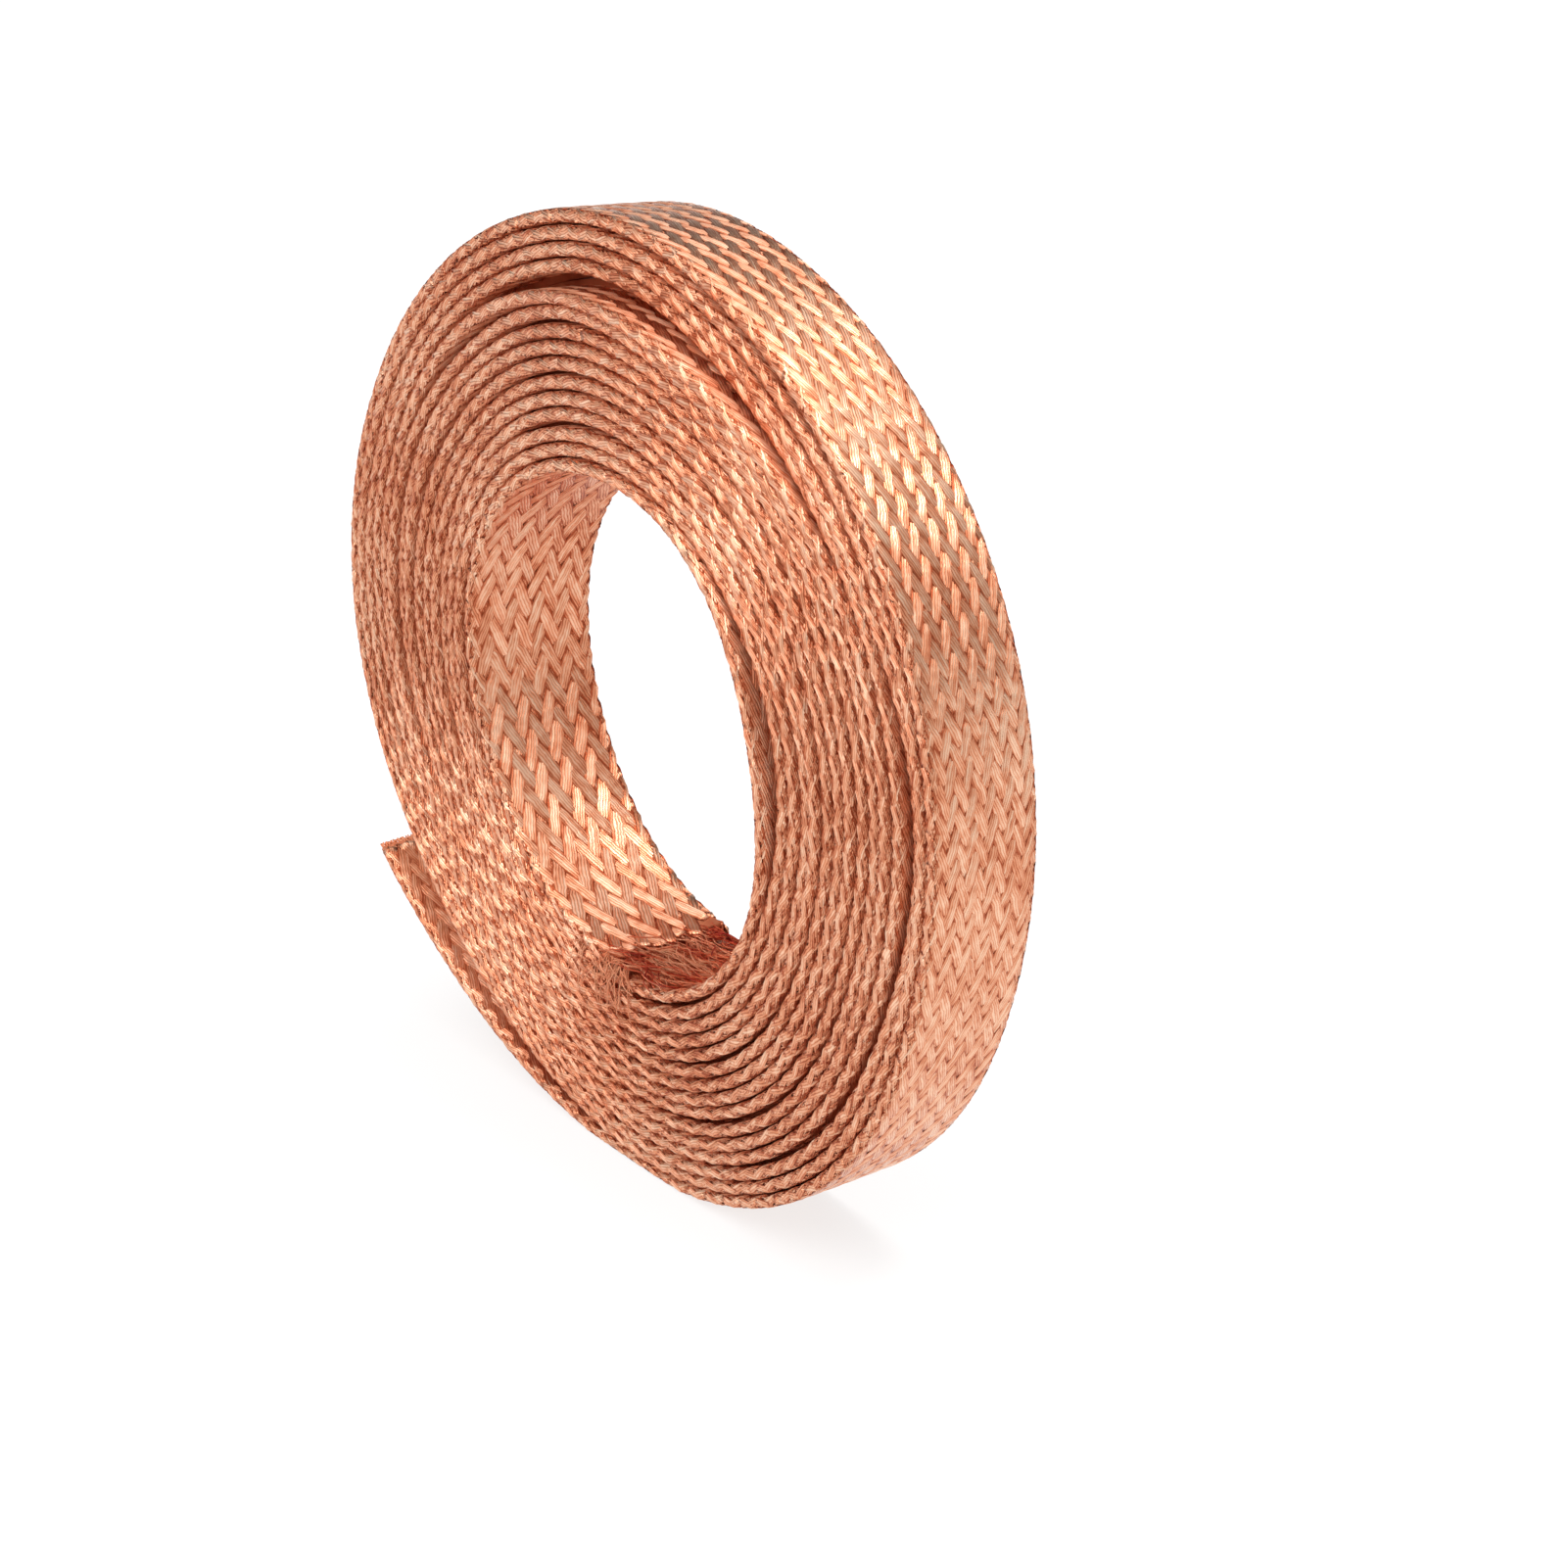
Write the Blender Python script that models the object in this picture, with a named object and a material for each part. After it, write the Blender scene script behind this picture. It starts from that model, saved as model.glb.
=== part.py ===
"""A roll of flat braided copper strap, wound loosely on itself and stood on its rim.

The strap is one piece. Its inner end is frayed and hangs into the hole of the roll, and its
outer end is cut square and springs away from the turn below. Metres, +Z up, the roll's axis
along Y, its front face towards -Y. The origin is under the middle of the roll, on the floor.
"""
from functools import lru_cache
from math import cos, pi, radians, sin

import bmesh
import bpy

MM = 0.001
TURN = 2 * pi

# Strap
STRAP_WIDTH = 19.6 * MM
STRAP_THICKNESS = 1.80 * MM
LOOSE_WIDTH = 2.6 * MM
SWELL = 0.55 * MM
SWELL_ANGLE = 42.0
SWELL_POWER = 1.5
EDGE_ROUND = 0.9 * MM

# Winding. Angles are seen from the front, from +X towards +Z.
FULL_TURNS = 15
INNER_END_ANGLE = 272.0
OUTER_END_ANGLE = 214.0
HOLE_RADIUS = 37.6 * MM
TURN_GAP = 0.32 * MM
CLIMB_START = 250.0
CLIMB_REACH = 110.0
FRONT_FLARE = 2.4 * MM
FLARE_ANGLE = 80.0
END_LIFT = 10.4 * MM
END_LIFT_REACH = 62.0
END_LIFT_POWER = 1.6

# Where the hole stands wider than its circle: angle, extra radius, spread of the angle.
HOLE_SHAPE = (
    (292.0, 2.6 * MM, 85.0),
    (150.0, 1.5 * MM, 65.0),
)

# Where the winding stands open: turn outside the gap (1 is the outermost), angle, extra gap, spread.
OPEN_GAPS = (
    (1, 58.0, 1.2 * MM, 42.0),
    (4, 98.0, 1.6 * MM, 46.0),
    (5, 132.0, 1.1 * MM, 28.0),
    (6, 92.0, 0.6 * MM, 45.0),
    (9, 98.0, 0.5 * MM, 35.0),
    (12, 105.0, 0.4 * MM, 40.0),
    (3, 205.0, 1.0 * MM, 42.0),
    (4, 168.0, 0.7 * MM, 62.0),
    (6, 172.0, 0.8 * MM, 62.0),
    (8, 170.0, 1.3 * MM, 64.0),
    (10, 178.0, 0.5 * MM, 55.0),
    (12, 182.0, 0.7 * MM, 55.0),
    (14, 180.0, 0.4 * MM, 45.0),
    (3, 328.0, 1.0 * MM, 42.0),
    (6, 305.0, 0.5 * MM, 48.0),
    (10, 305.0, 0.4 * MM, 40.0),
    (14, 290.0, 0.4 * MM, 35.0),
    (14, 12.0, 1.2 * MM, 40.0),
)

# Where turns stand out of the front face: turn, angle, reach, spread. Turns inside it follow.
PUSHED_OUT = (
    (5, 82.0, 3.6 * MM, 55.0),
    (15, 15.0, 1.6 * MM, 60.0),
)
FOLLOW = 0.72
# Where a single turn lies back from the front face.
SUNK = (
    (3, 5.0, 1.8 * MM, 38.0),
)

# Weave: the floats of the braid stand up as ridges, in columns across the strap's face.
FLOAT_COLUMNS = 6
RIDGE_HEIGHT = 0.34 * MM
VALLEY_DEPTH = 0.10 * MM
HIDDEN_FLOAT = 0.15
STATIONS_PER_TURN = 32
OUTER_ROWS = 4
INNER_ROWS = 2

# Flat spot that the roll rests on, and the stretch where its weight presses the ridges flat.
REST_ANGLE = 270.0
FLAT_SPOT_DEPTH = 0.70 * MM
PRESSED_REACH = 16.0

# Frayed inner end: the strands stand apart as tapering tufts, the longest ones at the front.
TUFT_LONG = 24.0 * MM
TUFT_SHORT = 9.0 * MM
TUFT_TIP = 0.35
TUFT_RISE = 1.1 * MM
TUFT_FAN = 1.06

COPPER = (0.78, 0.39, 0.25, 1.0)
COPPER_METALLIC = 0.9
COPPER_ROUGHNESS = 0.42
SHARP_EDGE = 35.0

TOTAL_ANGLE = TURN * FULL_TURNS + radians(INNER_END_ANGLE - OUTER_END_ANGLE)
INTERVALS = round(TOTAL_ANGLE / TURN * STATIONS_PER_TURN)
COLUMNS = 2 * FLOAT_COLUMNS


def bump(distance, spread):
    """A smooth hump, 1 in the middle and 0 from the spread on."""
    if abs(distance) >= spread:
        return 0.0
    return 0.5 + 0.5 * cos(pi * distance / spread)


def smooth_step(value):
    value = min(1.0, max(0.0, value))
    return value * value * (3 - 2 * value)


def wrapped(angle):
    """The same angle between minus and plus half a turn."""
    return (angle + pi) % TURN - pi


def polar_angle(along):
    """Angle seen from the front: it falls as the strap winds outwards."""
    return radians(INNER_END_ANGLE) - along


def along_at(turn, angle):
    """Winding angle from the inner end where a turn, counted from outside, passes an angle."""
    return TOTAL_ANGLE - radians((angle - OUTER_END_ANGLE) % 360.0) - TURN * (turn - 1)


def facing(along, angle):
    """1 where the strap passes the angle, 0 on the opposite side of the roll."""
    return 0.5 + 0.5 * cos(polar_angle(along) - radians(angle))


def thickness(along):
    return STRAP_THICKNESS + SWELL * facing(along, SWELL_ANGLE) ** SWELL_POWER


def pitch(along):
    """Distance from the turn below, middle to middle."""
    result = thickness(along) + TURN_GAP
    for turn, angle, extra, spread in OPEN_GAPS:
        result += extra * bump(along - along_at(turn, angle), radians(spread))
    return result


def first_turn_radius(along):
    result = HOLE_RADIUS + thickness(along) / 2
    for angle, extra, spread in HOLE_SHAPE:
        result += extra * bump(wrapped(polar_angle(along) - radians(angle)), radians(spread))
    climbed = (along - radians(CLIMB_START)) / radians(CLIMB_REACH)
    return result + pitch(TURN) * smooth_step(climbed)


@lru_cache(maxsize=None)
def front_radius(along):
    """Radius of the strap's middle at the front face."""
    from_end = (TOTAL_ANGLE - along) / radians(END_LIFT_REACH)
    result = END_LIFT * max(0.0, 1 - from_end) ** END_LIFT_POWER
    while along > TURN:
        result += pitch(along)
        along -= TURN
    return result + first_turn_radius(along)


@lru_cache(maxsize=None)
def pushed(along):
    """How far the strap stands out of the front face."""
    result = 0.0
    for turn, angle, reach, spread in PUSHED_OUT:
        for inner in range(turn, FULL_TURNS + 1):
            share = FOLLOW ** (inner - turn)
            result += reach * share * bump(along - along_at(inner, angle), radians(spread))
    for turn, angle, reach, spread in SUNK:
        result -= reach * bump(along - along_at(turn, angle), radians(spread))
    return result


def strap_width(along):
    """The braid is looser, and so wider, towards its frayed inner end."""
    return STRAP_WIDTH + LOOSE_WIDTH * (1 - along / TOTAL_ANGLE)


def strap_point(along, across, height):
    """A point of the strap: across is 0 at the front edge and 1 at the back, height is outward."""
    angle = polar_angle(along)
    flare = FRONT_FLARE * facing(along, FLARE_ANGLE)
    radius = front_radius(along) - flare * across + height
    y = strap_width(along) * (across - 0.5) - pushed(along)
    return (radius * cos(angle), y, max(radius * sin(angle), floor_height()))


@lru_cache(maxsize=None)
def floor_height():
    """Height of the floor below the roll's axis: it cuts a small flat spot off the last turn."""
    along = along_at(1, REST_ANGLE)
    return FLAT_SPOT_DEPTH - front_radius(along) - thickness(along) / 2


def ridge(along, row, column):
    """Height of the weave at a point of the grid on a face."""
    if column in (0, COLUMNS):
        return 0.0
    free = 1 - bump(wrapped(polar_angle(along) - radians(REST_ANGLE)), radians(PRESSED_REACH))
    if column % 2 == 0:
        return -VALLEY_DEPTH * free
    shown = 1.0 if (row + column // 2) % 2 == 0 else HIDDEN_FLOAT
    return RIDGE_HEIGHT * shown * free


def add_point(mesh, along, across, height):
    return mesh.verts.new(strap_point(along, across, height))


def corner_across(along):
    """Where the rounded edge meets the flat face, as a share of the width."""
    return EDGE_ROUND / strap_width(along)


def face_line(mesh, along, side, row, columns, ridged):
    """A line of points across one face of the strap, from the front corner to the back corner."""
    inset = corner_across(along)
    line = []
    for step in range(columns + 1):
        column = step * COLUMNS // columns
        height = thickness(along) / 2
        if ridged:
            height += ridge(along, row, column)
        across = inset + (1 - 2 * inset) * column / COLUMNS
        line.append(add_point(mesh, along, across, side * height))
    return line


def strip(mesh, first, second):
    """Faces between two lines of points, of unlike numbers where they need to be."""
    if len(first) == len(second):
        for i in range(len(first) - 1):
            mesh.faces.new((first[i], first[i + 1], second[i + 1], second[i]))
        return
    i = j = 0
    while i < len(first) - 1 or j < len(second) - 1:
        next_i = (i + 1) / (len(first) - 1)
        next_j = (j + 1) / (len(second) - 1)
        if next_i <= next_j:
            mesh.faces.new((first[i], first[i + 1], second[j]))
            i += 1
        else:
            mesh.faces.new((first[i], second[j + 1], second[j]))
            j += 1


def face_rows(station, side):
    """Rows of the weave's grid between a station and the next, on the face of one side."""
    if side > 0 and INTERVALS - STATIONS_PER_TURN <= station < INTERVALS:
        return OUTER_ROWS
    if side < 0 and station < STATIONS_PER_TURN:
        return INNER_ROWS
    return 1


def face_grid(mesh, side):
    """The lines across one face of the whole strap, as a list of lines for each interval."""
    step = TOTAL_ANGLE / INTERVALS
    end_columns = COLUMNS if side < 0 else FLOAT_COLUMNS
    first = face_line(mesh, 0.0, side, 0, end_columns, False)
    intervals = []
    for station in range(INTERVALS):
        rows = face_rows(station, side)
        next_rows = face_rows(station + 1, side)
        columns = COLUMNS if max(rows, next_rows) > 1 else 1
        lines = [first]
        for row in range(1, rows + 1):
            along = (station + row / rows) * step
            ridged = row < rows or rows == next_rows > 1
            lines.append(face_line(mesh, along, side, station * rows + row, columns, ridged))
        first = lines[-1]
        intervals.append(lines)
    return intervals


def close_face(mesh, intervals):
    """Skin one face: the grid where it is woven, one broad face elsewhere."""
    for lines in intervals:
        if len(lines) > 2:
            for near, far in zip(lines, lines[1:]):
                strip(mesh, near, far)
            continue
        near, far = lines
        mesh.faces.new(near + far[::-1])


def edge_line(intervals, station, end):
    """The corner points of one interval, along the strap, at its front (0) or back (-1)."""
    return [line[end] for line in intervals[station]]


def frayed_tufts(mesh, outer_line, inner_line, front_mid, back_mid):
    """Close the inner end with one tapering tuft for each column of the weave."""
    for tuft in range(FLOAT_COLUMNS):
        base = [outer_line[tuft], outer_line[tuft + 1]]
        if tuft == FLOAT_COLUMNS - 1:
            base.append(back_mid)
        base += [inner_line[2 * tuft + 2], inner_line[2 * tuft + 1], inner_line[2 * tuft]]
        if tuft == 0:
            base.append(front_mid)
        share = tuft / (FLOAT_COLUMNS - 1)
        length = TUFT_LONG + (TUFT_SHORT - TUFT_LONG) * share
        reach = length / HOLE_RADIUS
        middle = (tuft + 0.5) / FLOAT_COLUMNS
        tip = []
        for i, point in enumerate(base):
            across = tuft_across(point.co.y, middle)
            outward = 1 if i < 2 else -1
            if point in (front_mid, back_mid):
                outward = 0
            height = outward * thickness(0.0) / 2 * TUFT_TIP - TUFT_RISE
            tip.append(add_point(mesh, 0.0, across, height))
        turn_points(tip, reach)
        for i in range(len(base)):
            j = (i + 1) % len(base)
            mesh.faces.new((base[i], base[j], tip[j], tip[i]))
        mesh.faces.new(tip)


def tuft_across(y, middle):
    """Place across the strap of a tuft's tip point: drawn in to the tuft's own middle."""
    at_base = (y + pushed(0.0)) / strap_width(0.0) + 0.5
    fanned = 0.5 + (middle - 0.5) * TUFT_FAN
    return fanned + (at_base - middle) * TUFT_TIP


def turn_points(points, angle):
    """Move points round the roll's axis, on past the strap's inner end."""
    for point in points:
        x, y, z = point.co
        point.co = (x * cos(angle) - z * sin(angle), y, x * sin(angle) + z * cos(angle))


def build_strap(mesh):
    outer = face_grid(mesh, 1)
    inner = face_grid(mesh, -1)
    step = TOTAL_ANGLE / INTERVALS
    front_mids = [add_point(mesh, i * step, 0.0, 0.0) for i in range(INTERVALS + 1)]
    back_mids = [add_point(mesh, i * step, 1.0, 0.0) for i in range(INTERVALS + 1)]
    close_face(mesh, outer)
    close_face(mesh, inner)
    for station in range(INTERVALS):
        front = front_mids[station:station + 2]
        back = back_mids[station:station + 2]
        strip(mesh, front, edge_line(outer, station, 0))
        strip(mesh, edge_line(outer, station, -1), back)
        strip(mesh, back, edge_line(inner, station, -1))
        strip(mesh, edge_line(inner, station, 0), front)
    cut_end = outer[-1][-1] + [back_mids[-1]] + inner[-1][-1][::-1] + [front_mids[-1]]
    mesh.faces.new(cut_end)
    frayed_tufts(mesh, outer[0][0], inner[0][0], front_mids[0], back_mids[0])


def stand_on_floor(mesh):
    """Move the roll so that the middle of its box is over the origin and its flat spot on z = 0."""
    for axis in range(3):
        low = min(vert.co[axis] for vert in mesh.verts)
        high = max(vert.co[axis] for vert in mesh.verts)
        shift = low if axis == 2 else (low + high) / 2
        for vert in mesh.verts:
            vert.co[axis] -= shift


def copper_material():
    material = bpy.data.materials.new("bare_copper")
    material.use_nodes = True
    shader = material.node_tree.nodes["Principled BSDF"]
    shader.inputs["Base Color"].default_value = COPPER
    shader.inputs["Metallic"].default_value = COPPER_METALLIC
    shader.inputs["Roughness"].default_value = COPPER_ROUGHNESS
    return material


def clear_scene():
    for thing in list(bpy.data.objects):
        bpy.data.objects.remove(thing, do_unlink=True)


def main():
    clear_scene()
    group = bpy.data.collections.new("flexible_busbar_braid")
    bpy.context.scene.collection.children.link(group)
    mesh = bmesh.new()
    build_strap(mesh)
    stand_on_floor(mesh)
    bmesh.ops.recalc_face_normals(mesh, faces=mesh.faces)
    data = bpy.data.meshes.new("braid_roll")
    mesh.to_mesh(data)
    mesh.free()
    data.materials.append(copper_material())
    data.shade_smooth()
    data.set_sharp_from_angle(angle=radians(SHARP_EDGE))
    group.objects.link(bpy.data.objects.new("braid_roll", data))


main()
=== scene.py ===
"""The looks of a roll of flat braided copper strap: its strands, loose wires, light and camera.

Metres, +Z up. The strap is followed by its winding angle, from its inner end outwards, as the
solid was wound, and 48 flat strands are woven round it, 24 each way, over two and under two.
Only what can be seen is woven: the outer and inner faces of the roll, and the edges of its turns.
"""
from math import cos, pi, radians, sin

import bpy
import numpy as np
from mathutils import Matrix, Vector


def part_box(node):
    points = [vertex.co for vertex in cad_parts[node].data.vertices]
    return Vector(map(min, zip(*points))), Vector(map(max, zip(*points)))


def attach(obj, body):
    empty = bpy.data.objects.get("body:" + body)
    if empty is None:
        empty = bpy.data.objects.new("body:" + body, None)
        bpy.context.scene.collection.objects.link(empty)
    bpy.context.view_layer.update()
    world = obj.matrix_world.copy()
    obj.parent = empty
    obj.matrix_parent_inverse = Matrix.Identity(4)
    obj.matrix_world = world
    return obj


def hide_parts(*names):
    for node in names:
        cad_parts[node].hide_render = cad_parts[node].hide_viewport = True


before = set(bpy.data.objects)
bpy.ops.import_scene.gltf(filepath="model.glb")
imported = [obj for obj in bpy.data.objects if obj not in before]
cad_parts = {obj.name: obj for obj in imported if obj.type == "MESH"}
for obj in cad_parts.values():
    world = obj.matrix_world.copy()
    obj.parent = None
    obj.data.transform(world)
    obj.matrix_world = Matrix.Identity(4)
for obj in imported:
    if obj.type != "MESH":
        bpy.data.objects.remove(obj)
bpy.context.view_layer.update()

MM = 0.001
TURN = 2 * pi

# The strap and its winding, as in the solid. Angles are seen from the front, from +X towards +Z.
STRAP_WIDTH = 19.6 * MM
STRAP_THICKNESS = 1.80 * MM
LOOSE_WIDTH = 2.6 * MM
SWELL = 0.55 * MM
SWELL_ANGLE = 42.0
SWELL_POWER = 1.5
FULL_TURNS = 15
INNER_END_ANGLE = 272.0
OUTER_END_ANGLE = 214.0
HOLE_RADIUS = 37.6 * MM
TURN_GAP = 0.32 * MM
CLIMB_START = 250.0
CLIMB_REACH = 110.0
FRONT_FLARE = 2.4 * MM
FLARE_ANGLE = 80.0
END_LIFT = 10.4 * MM
END_LIFT_REACH = 62.0
END_LIFT_POWER = 1.6
# How the hole bulges: middle of the bulge in degrees, its height, and its reach to each side
HOLE_SHAPE = (
    (292.0, 2.6 * MM, 85.0),
    (150.0, 1.5 * MM, 65.0),
)
# Gaps between turns: turn from outside, angle of the middle, extra distance, reach to each side
OPEN_GAPS = (
    (1, 58.0, 1.2 * MM, 42.0),
    (4, 98.0, 1.6 * MM, 46.0),
    (5, 132.0, 1.1 * MM, 28.0),
    (6, 92.0, 0.6 * MM, 45.0),
    (9, 98.0, 0.5 * MM, 35.0),
    (12, 105.0, 0.4 * MM, 40.0),
    (3, 205.0, 1.0 * MM, 42.0),
    (4, 168.0, 0.7 * MM, 62.0),
    (6, 172.0, 0.8 * MM, 62.0),
    (8, 170.0, 1.3 * MM, 64.0),
    (10, 178.0, 0.5 * MM, 55.0),
    (12, 182.0, 0.7 * MM, 55.0),
    (14, 180.0, 0.4 * MM, 45.0),
    (3, 328.0, 1.0 * MM, 42.0),
    (6, 305.0, 0.5 * MM, 48.0),
    (10, 305.0, 0.4 * MM, 40.0),
    (14, 290.0, 0.4 * MM, 35.0),
    (14, 12.0, 1.2 * MM, 40.0),
)
# Turns that stand out of the front face, and take a share of those inside them along
PUSHED_OUT = (
    (5, 82.0, 3.6 * MM, 55.0),
    (15, 15.0, 1.6 * MM, 60.0),
)
FOLLOW = 0.72
# Turns that are sunk into the front face
SUNK = (
    (3, 5.0, 1.8 * MM, 38.0),
)
# The flat spot that the roll rests on
REST_ANGLE = 270.0
FLAT_SPOT_DEPTH = 0.70 * MM

# The braid: its strands each way, their slope, and how they lie over and under one another
STRANDS = 24
ADVANCE_OUTSIDE = 4.75 * MM
ADVANCE_INSIDE = 5.6 * MM
LOOSE_COLUMNS = 2.0
LOOSE_TURNS = 2.0
COLUMN_PHASE = 0.25
EDGE_COLUMN = 0.75
STRAND_WIDTH = 1.80 * MM
WIDTH_SWING = 0.14
STRAND_CROWN = 0.15 * MM
CROWN_SWING = 0.2
SWING_POWER = 0.7
LAYER_DEPTH = 0.12 * MM
LAYER_SWING = 0.07 * MM
FOLD_RELIEF = 0.26
FOLD_SPREAD = 0.12
UNEVEN = 0.40 * MM
UNEVEN_KNOTS = 5
UNEVEN_SEED = 7
CORNER_SHARE = 0.38
# Painted shade in the valleys between turns: where it starts round the fold, how far it reaches, how
# dark it is, and how it fades where a face can be seen, less so on inner faces
VALLEY_START = 0.50
VALLEY_REACH = 0.40
VALLEY_SHADE = 0.45
VALLEY_OPEN = 2.4 * MM
VALLEY_OPEN_SHARE = 0.95
VALLEY_INNER_SIGHT = 0.4
WEAVE_SEED = 24

# What is woven: samples from one crossing to the next, how far in from the front and back edges
# strands can be seen, and further in where turns stand apart
SAMPLES = 5
EDGE_REACH = 3.2 * MM
BACK_REACH = 2.8 * MM
GAP_SIGHT = 2.6
RIBBON_SIDES = 3
SHARP_ANGLE = radians(140.0)
MIDDLE_SHARE = 0.56

# The strands' small irregularities: how far they stray, and over what length
TURN_WANDER = ((0.05, 41.0 * MM), (0.04, 17.0 * MM))
WIDTH_WANDER = (0.08, 29.0 * MM)
HEIGHT_WANDER = (0.02 * MM, 23.0 * MM)

# The shaded inside of the braid, which closes the strap between the strands
CORE_DEPTH = 0.26 * MM
CORE_RINGS = 1600
CORE_BARE_LIMIT = 0.45
CORE_TRIM = 2.6 * MM
CORE_END_TRIM = 0.45 * MM

# The mat of loose wires at the frayed inner end, in tufts that sway and lift together. Starts,
# lifts, levels and loops are ranges in millimetres, and sways are shares of the strap's width.
INNER_TRIM = 4.5 * MM
WIRE_RADIUS = 0.12 * MM
WIRE_POINTS = 22
SIDE_GUIDE = (0.3, 0.9, 0.3)
FRAY_SEED = 5
TUFTS = 13
TUFT_LONG = 19.0 * MM
TUFT_SHORT = 9.0 * MM
TUFT_SPREAD = 0.3
TUFT_SWAY = 0.16
TUFT_LENGTHS = (0.7, 1.1)
TUFT_LIFTS = (-0.6, 1.6)
MAT_WIRES = 130
MAT_BACK = 0.92
MAT_BACK_LIFT = 0.4
MAT_TONES = (-0.8, 2.2)
WIRE_STARTS = (0.5, 6.5)
WIRE_LENGTHS = (0.45, 1.0)
WIRE_LIFT = 0.4
WIRE_SWAY = 0.14
SWAY_POWER = 1.4
START_LEVELS = (-0.8, 0.5)
END_LEVELS = (0.2, 1.1)
RIPPLE = 0.03
RIPPLE_TURNS = (0.6, 2.6)
CURLED_SHARE = 0.30
CURLED_LIFTS = (0.4, 1.6)
CURLED_LOOPS = (0.4, 0.9)
PLAIN_LOOPS = (0.05, 0.35)
LOOP_TURNS = (0.9, 2.2)

# Stray wires that hang over the front edges below the mat, with ranges in millimetres along the
# strap and outwards from it, and in shares of its width across it
STRAY_WIRES = 40
STRAY_RADIUS = 0.10 * MM
STRAY_STARTS = (-3.0, 10.0)
STRAY_DRIFT = 5.0
STRAY_TOP = -1.0 * MM
STRAY_REACHES = (0.5, 8.5)
STRAY_BEND = 1.0
STRAY_ACROSS = (0.03, -0.008)
STRAY_BULGES = (-0.040, -0.015)

# The wires' ends in the strap's outer, cut end
OUTER_TRIM = 0.5 * MM
CUT_SEED = 11
END_WIRES = 330
CUT_POINTS = 4
CUT_DEPTH = 1.0 * MM
CUT_REACH = (-0.25 * MM, 0.35 * MM)
CUT_SIDES = (0.015, 0.985)
CUT_SPLAY = 0.012
CUT_LEVEL = 0.92

# Copper. Along each strand the level runs from deep and dull, 0, to bright, 1. Painted shade lowers
# it where strands lie deep, between their wires and along their borders; random tone moves it.
WIRES_PER_STRAND = 5.0
WIRE_ROUNDNESS = 0.6
WIRE_RELIEF = 0.07 * MM
WIRE_DRIFT = 0.35
WIRE_DRIFT_SCALE = 0.8
TONE_SHIFT = 7.0
TONE_CELL = 31.0
WIRE_STRETCH = 0.22
WIRE_TONE_SCALE = 1.7
WIRE_TONE_SHARE = 1.2
PLAIN_LEVEL = 0.44
SHADE_AND_TONE_SHARE = 0.30
# Painted shade in the grooves between wires, and a slight painted highlight on their tops
PROFILE_MIDDLE = 0.75
PROFILE_SHARE = 0.45
# Painted shade along the strands' borders: how tightly it keeps to them, and how dark on faces and
# edges
BORDER_POWER = 4.0
FACE_BORDER_SHADE = 0.85
EDGE_BORDER_SHADE = 0.65
PATCH_SCALE = 55.0
PATCH_SHARE = 0.7
FRAYED_PATCH_SCALE = 170.0
FRAYED_PATCH_SHARE = 3.0
FLECK_SCALE = 700.0
FLECK_SHARE = 0.7
ROUGHNESS = 0.50
ROUGHNESS_SWING = -0.2
COPPER_STOPS = (0.0, 0.45, 0.95)
STRAND_COPPER = ((0.42, 0.09, 0.035, 1), (0.79, 0.32, 0.17, 1), (0.96, 0.61, 0.42, 1))
FRAYED_COPPER = ((0.36, 0.02, 0.01, 1), (0.93, 0.17, 0.06, 1), (1.0, 0.50, 0.29, 1))
LOOSE_COPPER = ((0.84, 0.24, 0.10, 1), (0.98, 0.40, 0.21, 1), (1.0, 0.55, 0.34, 1))
# The inside's copper is darker and redder than the strands': painted shade on real copper
CORE_COLOURS = ((0.35, (0.45, 0.11, 0.045, 1)), (0.70, (0.68, 0.23, 0.11, 1)))
CORE_PATCH_SCALE = 240.0
CORE_ROUGHNESS = 0.65
CORE_METALLIC = 0.6

# Camera: its place and its frame were measured on the photograph.
PHOTO_SIZE = 1601.0
CAMERA_AZIMUTH = 54.446
CAMERA_ELEVATION = 22.75
CAMERA_DISTANCE = 0.7418
PIXELS_PER_METRE = 6728.0
AXIS_PIXEL = (683.24, 718.8)
SENSOR = 36.0

# Room: brightness of the surroundings by the height of the direction, 0 at the horizon, how it
# is dimmed behind the roll but not overhead, and where mirrored light meets the white backdrop
ROOM_LEVELS = ((0.0, 0.20), (0.14, 0.28), (0.32, 0.75), (0.60, 1.0), (0.85, 1.8), (1.0, 2.2))
OVERHEAD_LEVELS = ((0.60, 0.0), (0.85, 1.0))
BEHIND = (-0.813, 0.581, 0.0)
BEHIND_LEVELS = ((0.46, 1.0), (0.74, 0.26))
BACKDROP_LEVELS = ((0.06, 1.0), (0.16, 0.0))
WHITE = (1.0, 1.0, 1.0, 1)

# Floor
FLOOR_RADIUS = 40.0
FLOOR_SIDES = 64
FLOOR_DROP = 0.2 * MM
FLOOR_COLOUR = (0.88, 0.88, 0.88, 1)
FLOOR_ROUGHNESS = 0.9
FLOOR_GLOSS = 0.1
FLOOR_WHITENESS = 0.75

# Lamps: name, direction from the roll, distance, width and power
LIGHT_TARGET = (0.0, 0.0, 0.07)
LIGHTS = (
    ("key_light", (0.341, 0.154, 0.927), 1.1, 0.30, 4.8),
    ("soft_light", (0.163, -0.652, 0.74), 1.2, 0.9, 5.5),
    ("fill_light", (-0.35, -0.9, 0.35), 1.3, 1.0, 3.6),
)

TOTAL_ANGLE = TURN * FULL_TURNS + radians(INNER_END_ANGLE - OUTER_END_ANGLE)


def bump(distance, spread):
    """A smooth hump, 1 in the middle and 0 from the spread on."""
    return np.where(np.abs(distance) < spread, 0.5 + 0.5 * np.cos(pi * distance / spread), 0.0)


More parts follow.
